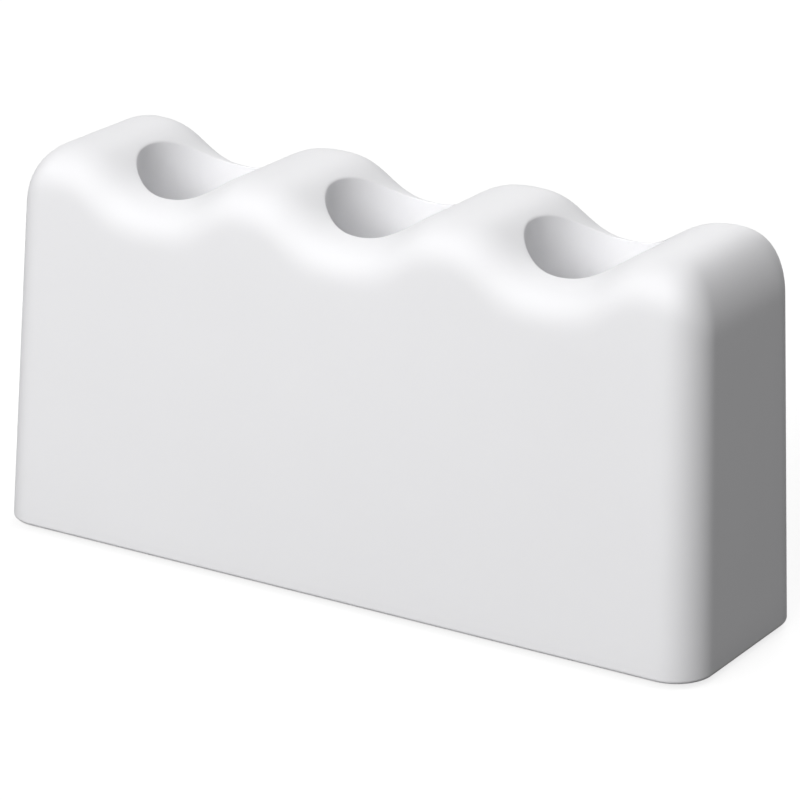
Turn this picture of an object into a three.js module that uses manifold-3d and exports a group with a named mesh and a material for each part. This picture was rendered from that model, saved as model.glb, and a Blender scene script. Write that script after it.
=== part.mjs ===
// Dip pen stand: a hollow moulded block with a wavy top and one round socket in each dip of the wave.
// A screwed base plate closes it from below and holds a steel ballast bar and four non-slip foot pads.
// Millimetres. X runs along the block, Y from its front to its back, Z up.
// The origin lies on the table, under the middle of the block.
import * as THREE from "three";
import { mergeVertices } from "three/addons/utils/BufferGeometryUtils.js";
import Module from "manifold-3d";

const wasm = await Module();
wasm.setup();

// Block, measured at its foot; drafts are in degrees and narrow it upwards
const footLength = 90;
const footDepth = 26;
const blockHeight = 44.8;
const endDraft = 2.7;
const sideDraft = 1.7;
const cornerRadius = 4.3;
const footRounding = 0.5;

// Wavy top: dips and crests alternate along X, and a fillet runs all round it.
// Flattening turns the plain wave into one with broader dips and crests and steeper flanks.
// Ease is 1 for an elliptical fillet; above 1 the fillet leaves the sides more gently.
const waveAmplitude = 2;
const waveFlattening = 0.07;
const filletHeight = 5.2;
const filletReach = 6.1;
const filletEase = 1.25;
const capCornerRadius = 1;

// Sockets stand in the dips, so their pitch is also the wave's
const socketCount = 3;
const socketPitch = 24.95;
const socketRadius = 7.7;
const cupWall = 1.5;
const cupFloor = 1.8;

// Shell inside
const wall = 2.2;
const lipWall = 1.3;
const ribThickness = 1.4;
const bossRadius = 2.7;
const bossCap = 1.5;

// Base plate and what it carries
const plateThickness = 2.2;
const plateInset = 0.3;
const webUnderHead = 1.2;
const turretRadius = 3.6;
const fenceShort = 1.6;
const fenceThickness = 1.2;
const ballastThickness = 4;
const ballastDepth = 14;
const ballastCornerRadius = 1.5;

// Foot pads sit in recesses over the screw heads
const padRadius = 3.8;
const padThickness = 1.5;
const padProud = 0.8;
const padChamfer = 0.3;
const padEdge = 1.1;

// Self-tapping pan-head screws
const screwRadius = 1.25;
const screwLength = 9;
const screwTipLength = 1.2;
const screwTipRadius = 0.5;
const headRadius = 2.3;
const headHeight = 1.5;
const headCrown = 0.4;
const driveWidth = 0.6;
const driveSpan = 2.6;
const driveDepth = 0.9;

// Clearances: fit is beside a piece, seat is under it, past the tip is beyond a screw's point
const fitGap = 0.25;
const seatGap = 0.05;
const pastTip = 0.8;

// Smallest rounding left after a wall is taken off, and how far a cut or join runs past its face
const leastRound = 1;
const past = 1;

// Facets
const alongSteps = 48;
const arcSteps = 5;
const filletSteps = 5;
const roundSteps = 3;
const socketFacets = 44;
const cupFacets = 32;
const padFacets = 28;
const smallFacets = 16;

// Heights above the table
const foot = padProud - plateInset;
const crest = foot + blockHeight;
const plateBottom = padProud;
const plateTop = plateBottom + plateThickness;
const recessTop = padThickness + seatGap;
const headBearing = recessTop + seatGap + headHeight + seatGap;
const turretTop = Math.max(headBearing + webUnderHead, plateTop + seatGap);
const ledge = plateTop + seatGap;
const ballastBottom = plateTop + seatGap;
const ballastTop = ballastBottom + ballastThickness;
const cupBottom = ballastTop + fitGap;
const socketFloor = cupBottom + cupFloor;
const bossBottom = turretTop + seatGap;
const screwTip = headBearing - seatGap + screwLength;
const bossTop = screwTip + pastTip + bossCap;

// Half sizes at the crests, which the drafts widen towards the foot
const slopeX = Math.tan(THREE.MathUtils.degToRad(endDraft));
const slopeY = Math.tan(THREE.MathUtils.degToRad(sideDraft));
const halfLength = footLength / 2 - slopeX * blockHeight;
const halfDepth = footDepth / 2 - slopeY * blockHeight;
const lipHalfLength = footLength / 2 - lipWall;
const lipHalfDepth = footDepth / 2 - lipWall;
const plateHalfLength = lipHalfLength - fitGap;
const plateHalfDepth = lipHalfDepth - fitGap;
const plateCorner = Math.max(cornerRadius - lipWall - fitGap, leastRound);
const screwX = plateHalfLength - padEdge - fitGap - padRadius;
const screwY = plateHalfDepth - padEdge - fitGap - padRadius;
const barHalfLength = screwX - turretRadius - fitGap - fenceThickness - fitGap;
const firstSocket = (-(socketCount - 1) / 2) * socketPitch;
const socketPlaces = Array.from({ length: socketCount }, (_, i) => firstSocket + i * socketPitch);
const screwPlaces = [[-screwX, -screwY], [screwX, -screwY], [screwX, screwY], [-screwX, screwY]];

const white = new THREE.MeshStandardMaterial({ color: 0xececea, roughness: 0.45, metalness: 0 });
const grey = new THREE.MeshStandardMaterial({ color: 0xd9d9d6, roughness: 0.6, metalness: 0 });
const steel = new THREE.MeshStandardMaterial({ color: 0x9a9c9e, roughness: 0.4, metalness: 1 });
const zinc = new THREE.MeshStandardMaterial({ color: 0xb4b6b8, roughness: 0.35, metalness: 1 });
const rubber = new THREE.MeshStandardMaterial({ color: 0x3a3a3c, roughness: 0.85, metalness: 0 });

// A closed geometry as a solid that can be joined and cut
function solid(geometry) {
  const bare = geometry.clone();
  bare.deleteAttribute("normal");
  bare.deleteAttribute("uv");
  const merged = mergeVertices(bare, 1e-5);
  const vertProperties = new Float32Array(merged.attributes.position.array);
  const triVerts = new Uint32Array(merged.index.array);
  return new wasm.Manifold(new wasm.Mesh({ numProp: 3, vertProperties, triVerts }));
}

function geometryOf(shape) {
  const mesh = shape.getMesh();
  const geometry = new THREE.BufferGeometry();
  geometry.setAttribute("position", new THREE.BufferAttribute(mesh.vertProperties, 3));
  geometry.setIndex(new THREE.BufferAttribute(mesh.triVerts, 1));
  geometry.computeVertexNormals();
  return geometry;
}

function box(x0, x1, y0, y1, z0, z1) {
  const geometry = new THREE.BoxGeometry(x1 - x0, y1 - y0, z1 - z0);
  geometry.translate((x0 + x1) / 2, (y0 + y1) / 2, (z0 + z1) / 2);
  return solid(geometry);
}

function cylinder(x, y, radius, z0, z1, facets) {
  const geometry = new THREE.CylinderGeometry(radius, radius, z1 - z0, facets);
  geometry.rotateX(Math.PI / 2);
  geometry.translate(x, y, (z0 + z1) / 2);
  return solid(geometry);
}

// Front half of a rounded rectangle, from its left end to its right end; the back half mirrors it
function frontHalf(a, b, radius, steps) {
  const points = [];
  for (let i = 0; i <= arcSteps; i++) {
    const turn = (Math.PI / 2) * (i / arcSteps);
    points.push([-(a - radius) - radius * Math.cos(turn), -(b - radius) - radius * Math.sin(turn)]);
  }
  for (let i = 1; i < steps; i++) points.push([(a - radius) * ((2 * i) / steps - 1), -b]);
  for (let i = arcSteps; i >= 0; i--) points.push([-points[i][0], points[i][1]]);
  return points;
}

// Height of the wave's own surface, dips at the sockets
function wave(x) {
  const turn = (2 * Math.PI * (x - firstSocket)) / socketPitch;
  const swing = (Math.cos(turn) - waveFlattening * Math.cos(3 * turn)) / (1 - waveFlattening);
  return crest - waveAmplitude * (1 + swing);
}

function steepness(x) {
  const turn = (2 * Math.PI * (x - firstSocket)) / socketPitch;
  const swing = (Math.sin(turn) - 3 * waveFlattening * Math.sin(3 * turn)) / (1 - waveFlattening);
  return Math.hypot(1, (2 * Math.PI * waveAmplitude * swing) / socketPitch);
}

// Moves a point given at crest height outwards, as the draft does lower down
function drafted(x, y, z) {
  const down = crest - z;
  return [x * (1 + (slopeX * down) / halfLength), y * (1 + (slopeY * down) / halfDepth), z];
}

// A point of a ring that lies a given drop below the wave
function underWave(x, y, drop) {
  const near = drafted(x, y, wave(x) - drop * steepness(x));
  return [near[0], near[1], wave(near[0]) - drop * steepness(near[0])];
}

// Closed solid from rings of front halves, listed from the bottom up
function stacked(rings) {
  const half = rings[0].length;
  const count = 2 * half;
  const positions = [];
  const index = [];
  for (const ring of rings) {
    for (const [x, y, z] of ring) positions.push(x, y, z);
    for (const [x, y, z] of [...ring].reverse()) positions.push(x, -y, z);
  }
  for (let k = 0; k + 1 < rings.length; k++) {
    for (let i = 0; i < count; i++) {
      const here = k * count + i;
      const next = k * count + ((i + 1) % count);
      index.push(here, next, next + count, here, next + count, here + count);
    }
  }
  const top = (rings.length - 1) * count;
  for (let i = 0; i + 1 < half; i++) {
    const across = count - 1 - i;
    index.push(top + i, top + i + 1, top + across - 1, top + i, top + across - 1, top + across);
    index.push(i, across - 1, i + 1, i, across, across - 1);
  }
  const geometry = new THREE.BufferGeometry();
  geometry.setAttribute("position", new THREE.Float32BufferAttribute(positions, 3));
  geometry.setIndex(index);
  return solid(geometry);
}

function prism(a, b, radius, z0, z1) {
  const outline = frontHalf(a, b, radius, 2);
  return stacked([z0, z1].map((z) => outline.map(([x, y]) => [x, y, z])));
}

// The rings that close a block: the fillet all round, then the wave's cap
function filletRings(a, b, radius, height, reach, roof, steps) {
  const rings = [];
  for (let i = 0; i <= filletSteps; i++) {
    const turn = (Math.PI / 2) * (i / filletSteps);
    const inset = reach * (1 - Math.cos(turn)) ** filletEase;
    const drop = roof + height * (1 - Math.sin(turn));
    const corner = radius + (capCornerRadius - radius) * (inset / reach);
    rings.push(frontHalf(a - inset, b - inset, corner, steps).map(([x, y]) => underWave(x, y, drop)));
  }
  return rings;
}

// Outside of the block, with its foot edge rounded
function blockOutside() {
  const rings = [];
  for (let i = 0; i <= roundSteps; i++) {
    const turn = (Math.PI / 2) * (i / roundSteps);
    const inset = footRounding * (1 - Math.sin(turn));
    const z = foot + footRounding * (1 - Math.cos(turn));
    const outline = frontHalf(halfLength - inset, halfDepth - inset, cornerRadius - inset, alongSteps);
    rings.push(outline.map(([x, y]) => drafted(x, y, z)));
  }
  rings.push(...filletRings(halfLength, halfDepth, cornerRadius, filletHeight, filletReach, 0, alongSteps));
  return stacked(rings);
}

// Hollow of the block, one wall inside it, from the ledge up
function blockHollow() {
  const a = halfLength - wall;
  const b = halfDepth - wall;
  const corner = Math.max(cornerRadius - wall, leastRound);
  const height = Math.max(filletHeight - wall, leastRound);
  const reach = Math.max(filletReach - wall, leastRound);
  const open = frontHalf(a, b, corner, alongSteps / 2).map(([x, y]) => drafted(x, y, ledge));
  return stacked([open, ...filletRings(a, b, corner, height, reach, wall, alongSteps / 2)]);
}

// What stands in the hollow: socket cups, a spine between them, and bosses tied to the walls
function shellInside() {
  const mid = ribThickness / 2;
  const pieces = [box(firstSocket, -firstSocket, -mid, mid, cupBottom, crest)];
  for (const x of socketPlaces) {
    pieces.push(cylinder(x, 0, socketRadius + cupWall, cupBottom, crest, cupFacets));
    pieces.push(box(x - mid, x + mid, -footDepth / 2, footDepth / 2, cupBottom, crest));
  }
  for (const [x, y] of screwPlaces) {
    const toEnd = (Math.sign(x) * footLength) / 2;
    const toSide = (Math.sign(y) * footDepth) / 2;
    pieces.push(cylinder(x, y, bossRadius, bossBottom, bossTop, smallFacets));
    pieces.push(box(Math.min(x, toEnd), Math.max(x, toEnd), y - mid, y + mid, bossBottom, bossTop));
    pieces.push(box(x - mid, x + mid, Math.min(y, toSide), Math.max(y, toSide), bossBottom, bossTop));
  }
  return pieces.reduce((all, piece) => all.add(piece));
}

function bodyShell() {
  const platePocket = prism(lipHalfLength, lipHalfDepth, plateCorner + fitGap, foot - past, ledge);
  let shell = blockOutside().subtract(blockHollow().subtract(shellInside()).add(platePocket));
  for (const x of socketPlaces) {
    shell = shell.subtract(cylinder(x, 0, socketRadius, socketFloor, crest + past, socketFacets));
  }
  for (const [x, y] of screwPlaces) {
    const pilotTop = screwTip + pastTip;
    shell = shell.subtract(cylinder(x, y, screwRadius + seatGap, bossBottom - past, pilotTop, smallFacets));
  }
  return shell;
}

// Fence that keeps the ballast bar in the middle of the plate, and ends a little below the bar's top
function fence() {
  const a = barHalfLength + fitGap;
  const b = ballastDepth / 2 + fitGap;
  const top = ballastTop - fenceShort;
  const outer = prism(a + fenceThickness, b + fenceThickness, ballastCornerRadius, plateTop - past, top);
  return outer.subtract(prism(a, b, ballastCornerRadius, plateTop, top + past));
}

function basePlate() {
  let plate = prism(plateHalfLength, plateHalfDepth, plateCorner, plateBottom, plateTop).add(fence());
  for (const [x, y] of screwPlaces) {
    plate = plate.add(cylinder(x, y, turretRadius, plateTop - past, turretTop, smallFacets));
  }
  for (const [x, y] of screwPlaces) {
    plate = plate.subtract(cylinder(x, y, padRadius + fitGap, plateBottom - past, recessTop, padFacets));
    plate = plate.subtract(cylinder(x, y, headRadius + fitGap, plateBottom - past, headBearing, smallFacets));
    plate = plate.subtract(cylinder(x, y, screwRadius + fitGap, plateBottom - past, turretTop + past, smallFacets));
  }
  return plate;
}

function lathe(profile, facets) {
  const geometry = new THREE.LatheGeometry(profile.map(([r, z]) => new THREE.Vector2(r, z)), facets);
  geometry.rotateX(Math.PI / 2);
  return solid(geometry);
}

// Screw with its head down, its bearing face at zero and its point up
function baseScrew() {
  const crown = headRadius - headCrown;
  const profile = [
    [0, -headHeight],
    [crown, -headHeight],
    [headRadius, headCrown - headHeight],
    [headRadius, 0],
    [screwRadius, 0],
    [screwRadius, screwLength - screwTipLength],
    [screwTipRadius, screwLength],
    [0, screwLength],
  ];
  const half = driveSpan / 2;
  const slot = driveWidth / 2;
  const top = driveDepth - headHeight;
  const cross = box(-half, half, -slot, slot, -headHeight - past, top).add(
    box(-slot, slot, -half, half, -headHeight - past, top),
  );
  return lathe(profile, smallFacets).subtract(cross);
}

function footPad() {
  const profile = [
    [0, 0],
    [padRadius - padChamfer, 0],
    [padRadius, padChamfer],
    [padRadius, padThickness],
    [0, padThickness],
  ];
  return lathe(profile, padFacets);
}

const stand = new THREE.Group();

function place(name, shape, material, x, y, z) {
  const mesh = new THREE.Mesh(geometryOf(shape), material);
  mesh.name = name;
  mesh.position.set(x, y, z);
  stand.add(mesh);
}

place("body_shell", bodyShell(), white, 0, 0, 0);
place("base_plate", basePlate(), grey, 0, 0, 0);
const bar = prism(barHalfLength, ballastDepth / 2, ballastCornerRadius, ballastBottom, ballastTop);
place("ballast_bar", bar, steel, 0, 0, 0);
screwPlaces.forEach(([x, y], i) => {
  place(`base_screw_${i + 1}`, baseScrew(), zinc.clone(), x, y, headBearing - seatGap);
  place(`foot_pad_${i + 1}`, footPad(), rubber.clone(), x, y, 0);
});

export default stand;
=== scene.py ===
"""Dip pen stand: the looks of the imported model.

Metres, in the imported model's frame: X along the row of sockets, Y from the front face to the back, Z up.
"""
import math

import bmesh
import bpy
from mathutils import Matrix, Vector


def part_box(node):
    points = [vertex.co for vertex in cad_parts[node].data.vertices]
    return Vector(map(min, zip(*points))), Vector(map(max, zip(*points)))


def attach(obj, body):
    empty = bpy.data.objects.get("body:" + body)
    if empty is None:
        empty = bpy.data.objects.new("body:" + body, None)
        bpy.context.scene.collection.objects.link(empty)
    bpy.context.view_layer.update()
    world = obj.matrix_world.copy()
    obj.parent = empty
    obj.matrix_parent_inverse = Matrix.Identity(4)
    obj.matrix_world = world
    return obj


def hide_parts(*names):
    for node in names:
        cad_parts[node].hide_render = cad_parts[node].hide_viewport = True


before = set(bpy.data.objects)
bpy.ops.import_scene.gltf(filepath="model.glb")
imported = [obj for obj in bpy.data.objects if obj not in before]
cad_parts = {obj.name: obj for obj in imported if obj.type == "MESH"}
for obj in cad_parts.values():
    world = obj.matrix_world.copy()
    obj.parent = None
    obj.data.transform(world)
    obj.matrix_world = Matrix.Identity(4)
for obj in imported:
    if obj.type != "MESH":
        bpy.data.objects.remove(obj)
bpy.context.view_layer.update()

MM = 0.001
BODY = "root"
SCREWS = [f"base_screw_{i}" for i in (1, 2, 3, 4)]
PADS = [f"foot_pad_{i}" for i in (1, 2, 3, 4)]

# Wavy block: its half sizes are measured at the foot and carried up the drafted sides to the crests.
# Flattening broadens the dips and crests; an ease above 1 lets the fillet leave the sides more gently.
FOOT = 0.5 * MM
CREST = 45.3 * MM
FOOT_HALF_LENGTH = 45 * MM
FOOT_HALF_DEPTH = 13 * MM
END_SLOPE = math.tan(math.radians(2.7))
SIDE_SLOPE = math.tan(math.radians(1.7))
HALF_LENGTH = FOOT_HALF_LENGTH - END_SLOPE * (CREST - FOOT)
HALF_DEPTH = FOOT_HALF_DEPTH - SIDE_SLOPE * (CREST - FOOT)
CORNER = 4.3 * MM
CAP_CORNER = 1 * MM
FOOT_ROUNDING = 0.5 * MM
WAVE_RISE = 2 * MM
WAVE_FLATTENING = 0.07
FILLET_HEIGHT = 5.2 * MM
FILLET_REACH = 6.1 * MM
FILLET_EASE = 1.25

# Sockets, and the cups that form them inside the block
SOCKET_COUNT = 3
PITCH = 24.95 * MM
FIRST_SOCKET = -(SOCKET_COUNT - 1) / 2 * PITCH
SOCKET_RADIUS = 7.7 * MM
SOCKET_FLOOR = 9.1 * MM
FLOOR_ROUNDING = 0.8 * MM
RIM_ROUNDING = 0.15 * MM
RIM_TURN = math.radians(60)
CUP_WALL = 1.5 * MM
CUP_BOTTOM = 7.3 * MM

# Walls, ribs and bosses inside the block; the hollow starts below the ledge and opens onto the plate
WALL = 2.2 * MM
RIB = 1.4 * MM
BOSS_RADIUS = 2.7 * MM
BOSS_BOTTOM = 4.4 * MM
PILOT_TOP = 12.9 * MM
BOSS_TOP = 14.4 * MM
LEDGE = 3.05 * MM
HOLLOW_BOTTOM = LEDGE - 0.3 * MM

# Base plate, and what it carries
PLATE_BOTTOM = 0.8 * MM
PLATE_TOP = 3 * MM
PLATE_HALF_LENGTH = 43.45 * MM
PLATE_HALF_DEPTH = 11.45 * MM
PLATE_CORNER = 2.75 * MM
PLATE_EDGE = 0.3 * MM
TURRET_RADIUS = 3.6 * MM
TURRET_TOP = 4.35 * MM
RECESS_TOP = 1.55 * MM
FENCE_TOP = 5.45 * MM
FENCE = 1.2 * MM
BAR_HALF_LENGTH = 33 * MM
BAR_HALF_DEPTH = 7 * MM
BAR_CORNER = 1.5 * MM
FIT_GAP = 0.25 * MM
SEAT_GAP = 0.05 * MM

# Screws and foot pads, which share their places
SCREW_X = 38.3 * MM
SCREW_Y = 6.3 * MM
SCREW_RADIUS = 1.25 * MM
THREAD_HEIGHT = 0.3 * MM
THREAD_PITCH = 1.1 * MM
THREAD_RISES = (0.4 * MM, 1.2 * MM)
THREAD_FADES = (7.4 * MM, 8.6 * MM)
HEAD_RADIUS = 2.3 * MM
HEAD_HEIGHT = 1.5 * MM
HEAD_BEARING = 3.15 * MM
PAD_RADIUS = 3.8 * MM
PAD_THICKNESS = 1.5 * MM
CORNERS = [(-1, -1), (1, -1), (1, 1), (-1, 1)]

# How far a cut or a join runs past its face, and how close points are when they become one
PAST = 1 * MM
WELD = 0.001 * MM
BODY_WELD = 0.006 * MM


class Term:
    """One output of a node, for use in plain sums."""

    def __init__(self, tree, socket):
        self.tree = tree
        self.socket = socket

    def __add__(self, other):
        return self.tree.sum("ADD", self, other)

    def __radd__(self, other):
        return self.tree.sum("ADD", other, self)

    def __sub__(self, other):
        return self.tree.sum("SUBTRACT", self, other)

    def __rsub__(self, other):
        return self.tree.sum("SUBTRACT", other, self)

    def __mul__(self, other):
        return self.tree.sum("MULTIPLY", self, other)

    def __rmul__(self, other):
        return self.tree.sum("MULTIPLY", other, self)

    def __truediv__(self, other):
        return self.tree.sum("DIVIDE", self, other)

    def __rtruediv__(self, other):
        return self.tree.sum("DIVIDE", other, self)

    def of(self, operation, *others):
        return self.tree.sum(operation, self, *others)


class Tree:
    """Writes one node tree. An input is a number, a vector, a material or the Term of another node."""

    def __init__(self, tree):
        self.tree = tree

    def fill(self, socket, value):
        if isinstance(value, (list, tuple)) and any(isinstance(part, Term) for part in value):
            parts = self.node("ShaderNodeCombineXYZ", dict(zip("XYZ", value)))
            self.tree.links.new(parts.outputs[0], socket)
        elif isinstance(value, Term):
            self.tree.links.new(value.socket, socket)
        else:
            socket.default_value = value

    def node(self, kind, inputs=None, **settings):
        node = self.tree.nodes.new(kind)
        for name, value in settings.items():
            setattr(node, name, value)
        for name, value in (inputs or {}).items():
            if isinstance(name, int):
                socket = node.inputs[name]
            else:
                socket = next(s for s in node.inputs if s.enabled and s.name == name)
            for item in value if isinstance(value, list) else [value]:
                self.fill(socket, item)
        return node

    def get(self, kind, inputs=None, output=None, **settings):
        node = self.node(kind, inputs, **settings)
        if output is None:
            socket = next(s for s in node.outputs if s.enabled)
        else:
            socket = next(s for s in node.outputs if s.enabled and s.name == output)
        return Term(self, socket)

    def sum(self, operation, *values):
        return self.get("ShaderNodeMath", dict(enumerate(values)), operation=operation)

    def ramp(self, value, start, end):
        """0 below start, 1 above end, straight between them."""
        return self.get("ShaderNodeMapRange", {"Value": value, "From Min": start, "From Max": end})

    def between(self, low, high, share):
        return low + (high - low) * share

    def group(self, tree, inputs):
        """The shape that a geometry group makes from these inputs."""
        node = self.tree.nodes.new("GeometryNodeGroup")
        node.node_tree = tree
        for name, value in inputs.items():
            self.fill(node.inputs[name], value)
        return Term(self, node.outputs[0])


def new_tree(name, kind, inputs, outputs):
    """An empty node tree with named inputs and outputs.

    Inputs are {name: default}, where None makes a geometry input, and outputs are {name: socket kind}.
    """
    tree = bpy.data.node_groups.new(name, kind)
    for label, default in inputs.items():
        if default is None:
            tree.interface.new_socket(label, in_out="INPUT", socket_type="NodeSocketGeometry")
            continue
        whole = isinstance(default, int)
        socket_kind = "Vector" if isinstance(default, tuple) else "Int" if whole else "Float"
        socket = tree.interface.new_socket(label, in_out="INPUT", socket_type="NodeSocket" + socket_kind)
        socket.default_value = default
    for label, socket_kind in outputs.items():
        tree.interface.new_socket(label, in_out="OUTPUT", socket_type="NodeSocket" + socket_kind)
    write = Tree(tree)
    entry = tree.nodes.new("NodeGroupInput")
    return tree, write, {label: Term(write, entry.outputs[label]) for label in inputs}


def put_out(write, **results):
    """Ends a tree: each result goes to the output of its name."""
    node = write.tree.nodes.new("NodeGroupOutput")
    for label, term in results.items():
        write.fill(node.inputs[label.capitalize()], term)


# Node trees for the shapes
def wave_at(x, size):
    """Height of the wave; flattening broadens its dips and crests and steepens its flanks."""
    turn = x * math.tau / size["Wave pitch"]
    flat = size["Wave flattening"]
    swing = (turn.of("COSINE") - flat * (turn * 3).of("COSINE")) / (1 - flat)
    return size["Crest height"] - size["Wave rise"] * (swing + 1)


def steepness_at(x, size):
    """How tall a layer of unit thickness stands where the wave slopes."""
    turn = x * math.tau / size["Wave pitch"]
    flat = size["Wave flattening"]
    swing = (turn.of("SINE") - flat * 3 * (turn * 3).of("SINE")) / (1 - flat)
    climb = size["Wave rise"] * math.tau / size["Wave pitch"] * swing
    return (climb * climb + 1.0).of("SQRT")


def block_tree():
    """Closed block with rounded corners, drafted sides and a wave along its top, skinned ring by ring.

    The rings run from the middle of the underside out to its edge, up the sides, over the top's fillet
    and in again to the middle line. The roof lowers the whole top, for a hollow one wall inside a block.
    """
    sizes = {
        "Half length": 0.04, "Half depth": 0.01, "End slope": 0.0, "Side slope": 0.0, "Crest height": 0.04,
        "Bottom": 0.0, "Corner radius": 0.004, "Cap corner radius": 0.001, "Bottom rounding": 0.0,
        "Fillet height": 0.0, "Fillet reach": 0.0, "Roof": 0.0, "Wave rise": 0.0, "Wave pitch": 0.02,
        "Wave flattening": 0.0, "Fillet ease": 1.0, "Steps along": 8, "Steps across": 4,
        "Steps per corner": 6, "Steps up": 1, "Steps per rounding": 4, "Steps to middle": 2,
    }
    tree, write, size = new_tree("wavy block", "GeometryNodeTree", sizes, {"Mesh": "Geometry"})
    along, across, corner = size["Steps along"], size["Steps across"], size["Steps per corner"]
    up, rounding, middle = size["Steps up"], size["Steps per rounding"], size["Steps to middle"]

    # Steps round the outline: front, corner, right end, corner, back, corner, left end, corner
    stretches = [along, corner, across, corner, along, corner, across, corner]
    marks = [0.0]
    for stretch in stretches:
        marks.append(marks[-1] + stretch)
    levels = [0.0]
    for stage in (middle, rounding, up, rounding, middle):
        levels.append(levels[-1] + stage)
    grid = write.get("GeometryNodeMeshGrid", {
        "Size X": 1.0, "Size Y": 1.0, "Vertices X": marks[8] + 1, "Vertices Y": levels[5] + 1})
    place = write.node("ShaderNodeSeparateXYZ", {0: write.get("GeometryNodeInputPosition")})
    step = (Term(write, place.outputs["X"]) + 0.5) * marks[8]
    level = (Term(write, place.outputs["Y"]) + 0.5) * levels[5]
    gone = [write.ramp(step, marks[i], marks[i + 1]) for i in range(8)]
    side_x = (gone[0] - gone[4]) * 2 - 1
    side_y = (gone[2] - gone[6]) * 2 - 1
    angle = (gone[1] + gone[3] + gone[5] + gone[7] - 1) * (math.pi / 2)
    under, heel, wall, fillet, cap = [write.ramp(level, levels[i], levels[i + 1]) for i in range(5)]
    quarter = math.pi / 2
    heel_turn, fillet_turn = heel * quarter, fillet * quarter

    # One ring: a rounded rectangle drawn in by the rounding that it lies on
    heel_in = size["Bottom rounding"] * (1 - heel_turn.of("SINE"))
    fillet_in = size["Fillet reach"] * (1 - fillet_turn.of("COSINE")).of("POWER", size["Fillet ease"])
    inset = heel_in + fillet_in
    change = (size["Cap corner radius"] - size["Corner radius"]) * fillet_in / size["Fillet reach"]
    radius = size["Corner radius"] - heel_in + change
    ring_x = (size["Half length"] - inset - radius) * side_x + radius * angle.of("COSINE")
    ring_y = (size["Half depth"] - inset - radius) * side_y + radius * angle.of("SINE")

    # Towards the middle line the ring shrinks onto a spine
    spine = size["Half length"] - size["Half depth"]
    shrink = cap + 1 - under
    spine_x = ring_x.of("MINIMUM", spine).of("MAXIMUM", spine * -1)
    plan_x = write.between(ring_x, spine_x, shrink)
    plan_y = ring_y * (1 - shrink)

    def drafted(height):
        down = size["Crest height"] - height
        wide_x = plan_x * (size["End slope"] * down / size["Half length"] + 1)
        wide_y = plan_y * (size["Side slope"] * down / size["Half depth"] + 1)
        return wide_x, wide_y

    low_z = size["Bottom"] + size["Bottom rounding"] * (1 - heel_turn.of("COSINE"))
    low_x, low_y = drafted(low_z)
    drop = size["Roof"] + size["Fillet height"] * (1 - fillet_turn.of("SINE"))
    high_x, high_y = drafted(wave_at(plan_x, size) - drop * steepness_at(plan_x, size))
    high_z = wave_at(high_x, size) - drop * steepness_at(high_x, size)
    point = tuple(write.between(low, high, wall) for low, high in
                  ((low_x, high_x), (low_y, high_y), (low_z, high_z)))
    skin = write.get("GeometryNodeSetPosition", {"Geometry": grid, "Position": point})
    put_out(write, mesh=write.get("GeometryNodeMergeByDistance", {"Geometry": skin, "Distance": WELD}))
    return tree


def bore_tree():
    """Round bore whose mouth follows the wavy top, with a rounded floor edge and a rounded rim."""
    sizes = {
        "Radius": SOCKET_RADIUS, "Floor": SOCKET_FLOOR, "Floor rounding": FLOOR_ROUNDING,
        "Rim rounding": RIM_ROUNDING, "Half depth": HALF_DEPTH, "Side slope": SIDE_SLOPE,
        "Crest height": CREST, "Fillet height": FILLET_HEIGHT, "Fillet reach": FILLET_REACH,
        "Fillet ease": FILLET_EASE, "Wave rise": WAVE_RISE, "Wave pitch": PITCH,
        "Wave flattening": WAVE_FLATTENING, "Steps round": 144,
    }
    tree, write, size = new_tree("socket bore", "GeometryNodeTree", sizes, {"Mesh": "Geometry"})
    counts = {"floor": 3, "heel": 4, "wall": 10, "rim": 4, "tail": 1, "lid": 1}
    total = sum(counts.values())
    grid = write.get("GeometryNodeMeshGrid", {
        "Size X": 1.0, "Size Y": 1.0, "Vertices X": size["Steps round"] + 1, "Vertices Y": total + 1})
    place = write.node("ShaderNodeSeparateXYZ", {0: write.get("GeometryNodeInputPosition")})
    angle = Term(write, place.outputs["X"]) * math.tau
    level = (Term(write, place.outputs["Y"]) + 0.5) * total
    done = {}
    start = 0
    for stage, count in counts.items():
        done[stage] = write.ramp(level, start, start + count)
        start += count
    heel_turn = done["heel"] * (math.pi / 2)
    rim_turn = done["rim"] * RIM_TURN
    tail = size["Rim rounding"] * 2 * done["tail"]
    radius = (size["Radius"] - size["Floor rounding"]) * done["floor"]
    radius = radius + size["Floor rounding"] * heel_turn.of("SINE")
    radius = radius + size["Rim rounding"] * (1 - rim_turn.of("COSINE")) + tail * math.sin(RIM_TURN)
    radius = radius * (1 - done["lid"])
    x, y = radius * angle.of("COSINE"), radius * angle.of("SINE")

    # Height of the block's top over that point; the draft is undone twice, which is enough at this slope
    top = wave_at(x, size)
    for _ in range(2):
        widening = size["Side slope"] * (size["Crest height"] - top) / size["Half depth"] + 1
        plan_y = y.of("ABSOLUTE") / widening
        share = (size["Half depth"] - plan_y) / size["Fillet reach"]
        beyond = (1 - share.of("POWER", 1 / size["Fillet ease"])).of("MAXIMUM", 0.0)
        drop = size["Fillet height"] * (1 - (1 - beyond * beyond).of("SQRT"))
        top = wave_at(x, size) - drop * steepness_at(x, size)
    rim_z = top - size["Rim rounding"] * (1 - rim_turn.of("SINE")) + tail * math.cos(RIM_TURN)
    heel_z = size["Floor"] + size["Floor rounding"] * (1 - heel_turn.of("COSINE"))
    z = write.between(heel_z, rim_z, done["wall"])
    z = write.between(z, size["Crest height"] + PAST, done["lid"])
    skin = write.get("GeometryNodeSetPosition", {"Geometry": grid, "Position": (x, y, z)})
    put_out(write, mesh=write.get("GeometryNodeMergeByDistance", {"Geometry": skin, "Distance": WELD}))
    return tree


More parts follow.
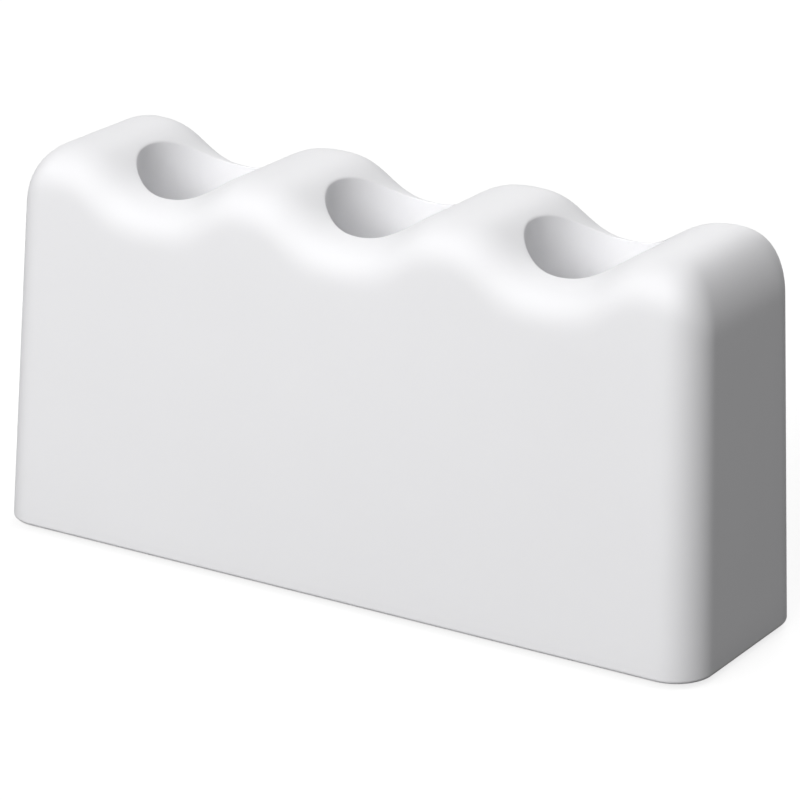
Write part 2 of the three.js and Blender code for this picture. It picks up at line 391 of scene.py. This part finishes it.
def box(write, x0, x1, y0, y1, z0, z1):
    cube = write.get("GeometryNodeMeshCube", {"Size": (x1 - x0, y1 - y0, z1 - z0)})
    middle = ((x0 + x1) / 2, (y0 + y1) / 2, (z0 + z1) / 2)
    return write.get("GeometryNodeTransform", {"Geometry": cube, "Translation": middle})


def rod(write, radius, z0, z1, facets):
    shape = write.get("GeometryNodeMeshCylinder", {"Vertices": facets, "Radius": radius, "Depth": z1 - z0})
    return write.get("GeometryNodeTransform", {"Geometry": shape, "Translation": (0, 0, (z0 + z1) / 2)})


def in_row(write, shape):
    """A shape at each socket."""
    line = write.get("GeometryNodeMeshLine", {
        "Count": SOCKET_COUNT, "Start Location": (FIRST_SOCKET, 0, 0), "Offset": (PITCH, 0, 0)})
    copies = write.get("GeometryNodeInstanceOnPoints", {"Points": line, "Instance": shape})
    return write.get("GeometryNodeRealizeInstances", {"Geometry": copies})


def at_corners(write, shape):
    """A shape at each screw place."""
    grid = write.get("GeometryNodeMeshGrid", {
        "Size X": 2 * SCREW_X, "Size Y": 2 * SCREW_Y, "Vertices X": 2, "Vertices Y": 2})
    copies = write.get("GeometryNodeInstanceOnPoints", {"Points": grid, "Instance": shape})
    return write.get("GeometryNodeRealizeInstances", {"Geometry": copies})


def together(write, *shapes):
    return write.get("GeometryNodeJoinGeometry", {"Geometry": list(shapes)})


def combine(write, operation, first, others):
    """Boolean of closed shapes; the first is cut or joined by the others."""
    inputs = {0: first, 1: list(others)} if operation == "DIFFERENCE" else {1: [first, *others]}
    return write.get("GeometryNodeMeshBoolean", inputs, operation=operation, solver="MANIFOLD")


def dress(write, shape, material):
    """Ends a shape's tree: its instances become plain faces, all in one material."""
    real = write.get("GeometryNodeRealizeInstances", {"Geometry": shape})
    put_out(write, mesh=write.get("GeometryNodeSetMaterial", {"Geometry": real, "Material": material}))


def body_tree(block, bore, material):
    """The moulded shell: the wavy block, less its sockets, its hollow and the place of the base plate."""
    sizes = {"Half length": HALF_LENGTH, "Half depth": HALF_DEPTH, "Corner radius": CORNER, "Wall": WALL,
             "Fillet height": FILLET_HEIGHT, "Fillet reach": FILLET_REACH, "Wave rise": WAVE_RISE}
    tree, write, size = new_tree("stand body", "GeometryNodeTree", sizes, {"Mesh": "Geometry"})
    shared = {"End slope": END_SLOPE, "Side slope": SIDE_SLOPE, "Crest height": CREST, "Wave pitch": PITCH,
              "Wave rise": size["Wave rise"], "Wave flattening": WAVE_FLATTENING,
              "Fillet ease": FILLET_EASE, "Cap corner radius": CAP_CORNER}
    spans = ["Half length", "Half depth", "Corner radius", "Fillet height", "Fillet reach"]
    outside = write.group(block, {
        **shared, **{name: size[name] for name in spans}, "Bottom": FOOT, "Bottom rounding": FOOT_ROUNDING,
        "Steps along": 216, "Steps across": 28, "Steps per corner": 18, "Steps up": 12,
        "Steps per rounding": 16, "Steps to middle": 12})
    hollow = write.group(block, {
        **shared, **{name: size[name] - size["Wall"] for name in spans}, "Bottom": HOLLOW_BOTTOM,
        "Roof": size["Wall"], "Steps along": 72, "Steps across": 8, "Steps per corner": 6,
        "Steps per rounding": 6})
    mid = RIB / 2
    cups = in_row(write, rod(write, SOCKET_RADIUS + CUP_WALL, CUP_BOTTOM, CREST, 96))
    webs = in_row(write, box(write, -mid, mid, -FOOT_HALF_DEPTH, FOOT_HALF_DEPTH, CUP_BOTTOM, CREST))
    spine = box(write, FIRST_SOCKET, -FIRST_SOCKET, -mid, mid, CUP_BOTTOM, CREST)
    bosses = at_corners(write, rod(write, BOSS_RADIUS, BOSS_BOTTOM, BOSS_TOP, 48))
    end_ribs, side_ribs = [], []
    for sx, sy in CORNERS:
        x0, x1 = sorted((sx * SCREW_X, sx * FOOT_HALF_LENGTH))
        y0, y1 = sorted((sy * SCREW_Y, sy * FOOT_HALF_DEPTH))
        end_ribs.append(box(write, x0, x1, sy * SCREW_Y - mid, sy * SCREW_Y + mid, BOSS_BOTTOM, BOSS_TOP))
        side_ribs.append(box(write, sx * SCREW_X - mid, sx * SCREW_X + mid, y0, y1, BOSS_BOTTOM, BOSS_TOP))
    inside = [cups, webs, spine, bosses, together(write, *end_ribs), together(write, *side_ribs)]
    hollow = combine(write, "DIFFERENCE", hollow, inside)
    pocket = write.group(block, {
        "Half length": PLATE_HALF_LENGTH + FIT_GAP, "Half depth": PLATE_HALF_DEPTH + FIT_GAP,
        "Corner radius": PLATE_CORNER + FIT_GAP, "Cap corner radius": PLATE_CORNER + FIT_GAP,
        "Bottom": FOOT - PAST, "Crest height": LEDGE, "Steps per corner": 12, "Steps per rounding": 1})
    sockets = in_row(write, write.group(bore, {}))
    pilots = at_corners(write, rod(write, SCREW_RADIUS + SEAT_GAP, BOSS_BOTTOM - PAST, PILOT_TOP, 32))
    dress(write, combine(write, "DIFFERENCE", outside, [hollow, pocket, sockets, pilots]), material)
    return tree


def plate_tree(block, material):
    """Base plate: a tray with a fence for the ballast bar, and a turret and a pad recess at each screw."""
    sizes = {"Half length": PLATE_HALF_LENGTH, "Half depth": PLATE_HALF_DEPTH, "Corner radius": PLATE_CORNER,
             "Edge rounding": PLATE_EDGE}
    tree, write, size = new_tree("stand base plate", "GeometryNodeTree", sizes, {"Mesh": "Geometry"})
    edge = size["Edge rounding"]
    plate = write.group(block, {
        "Half length": size["Half length"], "Half depth": size["Half depth"],
        "Bottom": PLATE_BOTTOM, "Crest height": PLATE_TOP, "Corner radius": size["Corner radius"],
        "Bottom rounding": edge, "Fillet height": edge * 0.5, "Fillet reach": edge * 0.5,
        "Cap corner radius": size["Corner radius"] - edge * 0.5,
        "Steps along": 24, "Steps across": 6, "Steps per corner": 14})
    walls = []
    for grow, bottom, top in ((FENCE, PLATE_TOP - PAST, FENCE_TOP), (0, PLATE_TOP, FENCE_TOP + PAST)):
        walls.append(write.group(block, {
            "Half length": BAR_HALF_LENGTH + FIT_GAP + grow, "Half depth": BAR_HALF_DEPTH + FIT_GAP + grow,
            "Corner radius": BAR_CORNER, "Cap corner radius": BAR_CORNER, "Bottom": bottom,
            "Crest height": top, "Steps along": 6, "Steps per corner": 8, "Steps per rounding": 1}))
    fence = combine(write, "DIFFERENCE", walls[0], [walls[1]])
    turrets = at_corners(write, rod(write, TURRET_RADIUS, PLATE_TOP - PAST, TURRET_TOP, 64))
    tray = combine(write, "UNION", plate, [fence, turrets])
    cuts = [(PAD_RADIUS, RECESS_TOP, 72), (HEAD_RADIUS, HEAD_BEARING, 56),
            (SCREW_RADIUS, TURRET_TOP + PAST, 40)]
    holes = [at_corners(write, rod(write, radius + FIT_GAP, PLATE_BOTTOM - PAST, top, facets))
             for radius, top, facets in cuts]
    dress(write, combine(write, "DIFFERENCE", tray, holes), material)
    return tree


def pads_tree(material):
    """Takes one foot pad and sets a copy in each corner."""
    tree, write, size = new_tree("foot pads", "GeometryNodeTree", {"Pad": None}, {"Mesh": "Geometry"})
    dress(write, at_corners(write, size["Pad"]), material)
    return tree


def screws_tree(material):
    """Takes one smooth screw, raises its thread, sinks its cross drive and sets a copy in each corner."""
    sizes = {"Screw": None, "Thread height": THREAD_HEIGHT, "Thread pitch": THREAD_PITCH,
             "Drive span": 2.6 * MM, "Drive width": 0.6 * MM, "Drive depth": 0.9 * MM}
    tree, write, size = new_tree("base screws", "GeometryNodeTree", sizes, {"Mesh": "Geometry"})
    place = write.node("ShaderNodeSeparateXYZ", {0: write.get("GeometryNodeInputPosition")})
    x, y, z = (Term(write, place.outputs[name]) for name in "XYZ")
    reach = (x * x + y * y).of("SQRT")
    turn = z / size["Thread pitch"] - y.of("ARCTAN2", x) / math.tau
    ridge = (1 - (turn.of("FRACT") - 0.5).of("ABSOLUTE") * 4).of("MAXIMUM", 0.0)
    shank = write.ramp(z, *THREAD_RISES) * (1 - write.ramp(z, *THREAD_FADES))
    share = ridge * shank * size["Thread height"] / reach
    threaded = write.get("GeometryNodeSetPosition", {
        "Geometry": size["Screw"], "Position": (x + x * share, y + y * share, z)})
    long, wide = size["Drive span"], size["Drive width"]
    bars = []
    for span_x, span_y in ((long, wide), (wide, long)):
        bar = write.get("GeometryNodeMeshCube", {"Size": (span_x, span_y, size["Drive depth"] + PAST)})
        middle = (size["Drive depth"] - PAST) * 0.5 - HEAD_HEIGHT
        bars.append(write.get("GeometryNodeTransform", {"Geometry": bar, "Translation": (0.0, 0.0, middle)}))
    driven = combine(write, "DIFFERENCE", threaded, bars)
    seated = write.get("GeometryNodeTransform", {
        "Geometry": driven, "Translation": (0, 0, HEAD_BEARING - SEAT_GAP)})
    dress(write, at_corners(write, seated), material)
    return tree


def turned(name, profile, facets):
    """Closed mesh turned round the Z axis from a profile (radius, z) that starts and ends on the axis."""
    form = bmesh.new()
    rings = []
    for radius, z in profile:
        if radius == 0:
            rings.append([form.verts.new((0, 0, z))])
        else:
            angles = [math.tau * i / facets for i in range(facets)]
            rings.append([form.verts.new((radius * math.cos(a), radius * math.sin(a), z)) for a in angles])
    for low, high in zip(rings, rings[1:]):
        for i in range(facets):
            j = (i + 1) % facets
            corners = [low[i % len(low)], low[j % len(low)], high[j % len(high)], high[i % len(high)]]
            form.faces.new(list(dict.fromkeys(corners)))
    mesh = bpy.data.meshes.new(name)
    form.to_mesh(mesh)
    form.free()
    return mesh


def pad_profile():
    """Half section of a foot pad: a rounded foot with shallow grip rings."""
    edge, chamfer = 0.3 * MM, 0.1 * MM
    profile = [(0, 0)]
    for middle in (1.0 * MM, 1.9 * MM, 2.8 * MM):
        for step, depth in ((-0.25, 0), (-0.13, 0.14), (0.13, 0.14), (0.25, 0)):
            profile.append((middle + step * MM, depth * MM))
    for i in range(6):
        turn = math.pi / 2 * i / 5
        profile.append((PAD_RADIUS - edge + edge * math.sin(turn), edge - edge * math.cos(turn)))
    profile += [(PAD_RADIUS, PAD_THICKNESS - chamfer), (PAD_RADIUS - chamfer, PAD_THICKNESS)]
    return profile + [(0, PAD_THICKNESS)]


def screw_profile():
    """Half section of a screw before its thread: pan head below, core and point above the bearing face."""
    core, length, tip = SCREW_RADIUS - THREAD_HEIGHT, 9 * MM, 1.2 * MM
    crown, neck, point, steps = 0.5 * MM, 0.15 * MM, 0.3 * MM, 88
    profile = [(0, -HEAD_HEIGHT)]
    for i in range(7):
        turn = math.pi / 2 * i / 6
        radius = HEAD_RADIUS - crown + crown * math.sin(turn)
        profile.append((radius, -HEAD_HEIGHT + crown * (1 - math.cos(turn))))
    profile += [(HEAD_RADIUS, 0), (core + neck, 0), (core, neck)]
    for i in range(1, steps + 1):
        z = neck + (length - neck) * i / steps
        taper = max(0, z - (length - tip)) / tip
        profile.append((core - (core - point) * taper, z))
    return profile + [(0, length)]


def grown(name, tree, sizes=None, start=None):
    """A plain mesh object from a geometry tree, whose modifier is taken off again."""
    piece = bpy.data.objects.new(name, start or bpy.data.meshes.new(name))
    bpy.context.scene.collection.objects.link(piece)
    modifier = piece.modifiers.new(name, "NODES")
    modifier.node_group = tree
    for item in tree.interface.items_tree:
        if item.in_out == "INPUT" and item.name in (sizes or {}):
            modifier[item.identifier] = sizes[item.name]
    evaluated = piece.evaluated_get(bpy.context.evaluated_depsgraph_get())
    mesh = bpy.data.meshes.new_from_object(evaluated)
    piece.modifiers.remove(modifier)
    piece.data = mesh
    mesh.name = name
    return piece


def settle(piece, nodes, sharp, merge=0.0):
    """Cleans a finished mesh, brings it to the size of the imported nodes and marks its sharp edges."""
    form = bmesh.new()
    form.from_mesh(piece.data)
    if merge:
        bmesh.ops.remove_doubles(form, verts=form.verts, dist=merge)
    bmesh.ops.triangulate(form, faces=form.faces)
    bmesh.ops.dissolve_degenerate(form, edges=form.edges, dist=WELD)
    bmesh.ops.triangulate(form, faces=form.faces)
    corners = [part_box(node) for node in nodes]
    for axis in range(3):
        low = min(corner[0][axis] for corner in corners)
        high = max(corner[1][axis] for corner in corners)
        own_low = min(v.co[axis] for v in form.verts)
        own_high = max(v.co[axis] for v in form.verts)
        scale = (high - low) / (own_high - own_low)
        for v in form.verts:
            v.co[axis] = low + (v.co[axis] - own_low) * scale
    form.to_mesh(piece.data)
    form.free()
    piece.data.shade_smooth()
    piece.data.set_sharp_from_angle(angle=math.radians(sharp))


# Finishes
def moulded_surface_group():
    """Texture of a moulded face: fine spark grain, broad ripples and a slow change of tone."""
    sizes = {"Place": (0.0, 0.0, 0.0), "Grain size": 0.25 * MM, "Ripple size": 14 * MM, "Ripple share": 0.5}
    outputs = {"Height": "Float", "Tone": "Float", "Sheen": "Float"}
    tree, write, size = new_tree("moulded surface", "ShaderNodeTree", sizes, outputs)
    place = size["Place"]
    grain = write.get("ShaderNodeTexNoise", {
        "Vector": place, "Scale": 1 / size["Grain size"], "Detail": 2.0, "Roughness": 0.6}, output="Fac")
    ripple = write.get("ShaderNodeTexNoise", {
        "Vector": place, "Scale": 1 / size["Ripple size"], "Detail": 1.0, "Roughness": 0.4}, output="Fac")
    tone = write.get("ShaderNodeTexNoise", {
        "Vector": place, "Scale": 0.4 / size["Ripple size"], "Detail": 3.0, "Roughness": 0.55}, output="Fac")
    height = grain * (1 - size["Ripple share"]) + ripple * size["Ripple share"]
    put_out(write, height=height, tone=write.ramp(tone, 0.3, 0.7), sheen=write.ramp(grain, 0.35, 0.65))
    return tree


def worked_metal_group():
    """Texture of rolled or plated metal: streaks along X and a fine mottle."""
    sizes = {"Place": (0.0, 0.0, 0.0), "Streak length": 6 * MM, "Streak width": 0.15 * MM,
             "Mottle size": 0.6 * MM}
    outputs = {"Height": "Float", "Tone": "Float", "Sheen": "Float"}
    tree, write, size = new_tree("worked metal", "ShaderNodeTree", sizes, outputs)
    parts = write.node("ShaderNodeSeparateXYZ", {0: size["Place"]})
    x, y, z = (Term(write, parts.outputs[name]) for name in "XYZ")
    stretched = (x / size["Streak length"], y / size["Streak width"], z / size["Streak width"])
    streaks = write.get("ShaderNodeTexNoise", {
        "Vector": stretched, "Scale": 1.0, "Detail": 3.0}, output="Fac")
    mottle = write.get("ShaderNodeTexNoise", {
        "Vector": size["Place"], "Scale": 1 / size["Mottle size"], "Detail": 2.0}, output="Fac")
    put_out(write, height=streaks, tone=write.ramp(mottle, 0.3, 0.7), sheen=write.ramp(streaks, 0.3, 0.7))
    return tree


def new_finish(name):
    """A material with an empty tree that ends in a plain shader, which the caller fills."""
    material = bpy.data.materials.new(name)
    material.use_nodes = True
    material.node_tree.nodes.clear()
    write = Tree(material.node_tree)
    shader = write.node("ShaderNodeBsdfPrincipled")
    end = write.node("ShaderNodeOutputMaterial")
    material.node_tree.links.new(shader.outputs[0], end.inputs["Surface"])
    return material, write, shader


def finish(name, group, pale, deep, smooth, rough, relief, sizes=None, constants=None):
    """One finish: two close tones, two close roughnesses and a relief, all from a shared texture group.

    The sizes go to the group, and the constants to the shader's own sockets.
    """
    material, write, shader = new_finish(name)
    node = write.tree.nodes.new("ShaderNodeGroup")
    node.node_tree = group
    write.fill(node.inputs["Place"], write.get("ShaderNodeTexCoord", output="Object"))
    for label, value in (sizes or {}).items():
        write.fill(node.inputs[label], value)
    tone, sheen, height = (Term(write, node.outputs[label]) for label in ("Tone", "Sheen", "Height"))
    colour = write.get("ShaderNodeMix", {"Factor": tone, "A": (*pale, 1), "B": (*deep, 1)}, data_type="RGBA")
    write.fill(shader.inputs["Base Color"], colour)
    write.fill(shader.inputs["Roughness"], write.between(smooth, rough, sheen))
    write.fill(shader.inputs["Normal"], write.get("ShaderNodeBump", {"Height": height, "Distance": relief}))
    for label, value in (constants or {}).items():
        shader.inputs[label].default_value = value
    return material


moulding, metal = moulded_surface_group(), worked_metal_group()
white = finish(
    "white satin moulding", moulding, pale=(0.918, 0.917, 0.932), deep=(0.898, 0.897, 0.912),
    smooth=0.54, rough=0.60, relief=0.004 * MM, constants={"Specular IOR Level": 0.1})
grey = finish(
    "pale grey base moulding", moulding, pale=(0.69, 0.69, 0.68), deep=(0.65, 0.65, 0.64),
    smooth=0.5, rough=0.62, relief=0.02 * MM, sizes={"Grain size": 0.35 * MM})
rubber = finish(
    "black pad rubber", moulding, pale=(0.065, 0.065, 0.07), deep=(0.045, 0.045, 0.048),
    smooth=0.75, rough=0.9, relief=0.03 * MM, sizes={"Grain size": 0.3 * MM, "Ripple size": 3 * MM})
steel = finish(
    "rolled ballast steel", metal, pale=(0.45, 0.46, 0.47), deep=(0.38, 0.385, 0.39),
    smooth=0.32, rough=0.5, relief=0.01 * MM, constants={"Metallic": 1.0})
zinc = finish(
    "zinc screw plating", metal, pale=(0.64, 0.65, 0.66), deep=(0.55, 0.56, 0.58),
    smooth=0.25, rough=0.4, relief=0.004 * MM,
    sizes={"Streak length": 1 * MM, "Mottle size": 0.35 * MM}, constants={"Metallic": 1.0})


# Pieces
block = block_tree()
bore = bore_tree()
body = grown("stand_body", body_tree(block, bore, white), {"Wave rise": WAVE_RISE})
settle(body, ["body_shell"], sharp=33, merge=BODY_WELD)
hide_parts("body_shell")
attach(body, BODY)

plate = grown("stand_base_plate", plate_tree(block, grey), {"Edge rounding": PLATE_EDGE})
settle(plate, ["base_plate"], sharp=35)
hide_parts("base_plate")
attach(plate, BODY)

pads = grown("stand_foot_pads", pads_tree(rubber), start=turned("foot_pad", pad_profile(), 72))
settle(pads, PADS, sharp=50)
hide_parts(*PADS)
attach(pads, BODY)

screws = grown("stand_base_screws", screws_tree(zinc), {"Thread height": THREAD_HEIGHT},
               start=turned("base_screw", screw_profile(), 36))
settle(screws, SCREWS, sharp=40)
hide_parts(*SCREWS)
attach(screws, BODY)

bar = bpy.data.objects["ballast_bar"]
bar.data.materials.clear()
bar.data.materials.append(steel)


# Floor, light and camera
# The floor's tone is nearly black for the light that it sends to the stand. The camera sees another tone
# and a glow, which make it white with a soft shadow, and gloss sees the shine.
FLOOR_HALF = 3.0
FLOOR_BOUNCE = 0.05
FLOOR_TONE = 0.25
FLOOR_GLOW = 0.79
FLOOR_SHINE = 0.4

# Lamps: name, turn and rise in degrees, distance and width in metres, power in watts
LAMP_TARGET = Vector((0, 0, 20 * MM))
LAMPS = [
    ("front_lamp", -82, 28, 1.0, 0.6, 6.25),
    ("near_left_lamp", -115, 40, 0.5, 0.4, 1.06),
    ("back_lamp", 105, 25, 1.0, 0.6, 3.8),
    ("high_right_lamp", 28, 61, 1.0, 0.6, 2.4),
]


def studio_floor():
    """Level floor that shows white to the camera and pale in gloss."""
    mesh = bpy.data.meshes.new("studio_floor")
    corners = [(x * FLOOR_HALF, y * FLOOR_HALF, 0) for x, y in CORNERS]
    mesh.from_pydata(corners, [], [(0, 1, 2, 3)])
    floor = bpy.data.objects.new("studio_floor", mesh)
    bpy.context.scene.collection.objects.link(floor)
    material, write, shader = new_finish("pale studio floor")
    shader.inputs["Roughness"].default_value = 0.9
    shader.inputs["Emission Color"].default_value = (1, 1, 1, 1)
    seen = write.node("ShaderNodeLightPath")
    camera_ray = Term(write, seen.outputs["Is Camera Ray"])
    glossy_ray = Term(write, seen.outputs["Is Glossy Ray"])
    write.fill(shader.inputs["Base Color"], write.between(FLOOR_BOUNCE, FLOOR_TONE, camera_ray))
    glow = (camera_ray * FLOOR_GLOW).of("MAXIMUM", glossy_ray * FLOOR_SHINE)
    write.fill(shader.inputs["Emission Strength"], glow)
    mesh.materials.append(material)


def studio_world():
    """White to the camera, in gloss and through glass; the lamps alone light the stand."""
    world = bpy.data.worlds.new("white studio")
    world.use_nodes = True
    bpy.context.scene.world = world
    write = Tree(world.node_tree)
    back = world.node_tree.nodes["Background"]
    back.inputs["Color"].default_value = (1, 1, 1, 1)
    seen = write.node("ShaderNodeLightPath")
    labels = ("Is Camera Ray", "Is Glossy Ray", "Is Transmission Ray")
    camera_ray, glossy_ray, clear_ray = (Term(write, seen.outputs[label]) for label in labels)
    write.fill(back.inputs["Strength"], camera_ray.of("MAXIMUM", glossy_ray).of("MAXIMUM", clear_ray))


def soft_lamp(name, turn, rise, distance, width, power):
    """Round soft lamp that points at the middle of the stand.

    The turn is 0 on the right and -90 in front, and the rise is the lamp's height above level.
    """
    turn, rise = math.radians(turn), math.radians(rise)
    away = Vector((math.cos(turn) * math.cos(rise), math.sin(turn) * math.cos(rise), math.sin(rise)))
    light = bpy.data.lights.new(name, "AREA")
    light.shape = "DISK"
    light.size = width
    light.energy = power
    lamp = bpy.data.objects.new(name, light)
    bpy.context.scene.collection.objects.link(lamp)
    lamp.location = LAMP_TARGET + away * distance
    lamp.rotation_euler = away.to_track_quat("Z", "Y").to_euler()


def photo_camera():
    """The photograph's view, from the fit of its edges and rims."""
    yaw, rise, roll = math.radians(31.032), math.radians(19.615), math.radians(1.04)
    distance, target = 460 * MM, Vector((0.956 * MM, -0.02 * MM, 20.342 * MM))
    back = Vector((math.sin(yaw) * math.cos(rise), -math.cos(yaw) * math.cos(rise), math.sin(rise)))
    level = Vector((math.cos(yaw), math.sin(yaw), 0))
    up = back.cross(level)
    right = level * math.cos(roll) + up * math.sin(roll)
    up = up * math.cos(roll) - level * math.sin(roll)
    data = bpy.data.cameras.new("photo_camera")
    data.sensor_width = 36
    data.lens = 187.07
    data.clip_start = 0.01
    camera = bpy.data.objects.new("photo_camera", data)
    bpy.context.scene.collection.objects.link(camera)
    turn = Matrix((right, up, back)).transposed().to_4x4()
    camera.matrix_world = Matrix.Translation(target + back * distance) @ turn
    bpy.context.scene.camera = camera


studio_floor()
studio_world()
for lamp in LAMPS:
    soft_lamp(*lamp)
photo_camera()
bpy.context.scene.view_settings.view_transform = "Standard"
